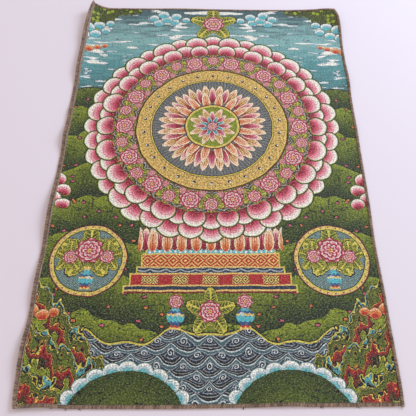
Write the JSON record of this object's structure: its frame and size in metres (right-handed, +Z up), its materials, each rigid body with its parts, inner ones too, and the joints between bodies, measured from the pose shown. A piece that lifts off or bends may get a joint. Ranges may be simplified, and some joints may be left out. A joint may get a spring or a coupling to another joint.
{
  "type": "woven brocade picture panel",
  "caption": "Flat rectangular panel of patterned brocade with thread-bound edges, laid face up, its left side in low swells and its far left corner curled up.",
  "frame": {"origin": "on the surface that the cloth lies on, under the middle of the cloth's box", "axes": "+X to the picture's right, +Y towards the picture's top, +Z up from the surface"},
  "size_m": [0.5987, 0.9111, 0.024],
  "materials": {
    "brocade": "many-coloured jacquard brocade, ribbed, with a soft satin sheen",
    "edging_thread": "taupe overlock thread, dull"
  },
  "bodies": {
    "root": {"woven_panel": "brocade", "edging_left": "edging_thread", "edging_right": "edging_thread", "edging_top": "edging_thread", "edging_bottom": "edging_thread"}
  },
  "joints": []
}
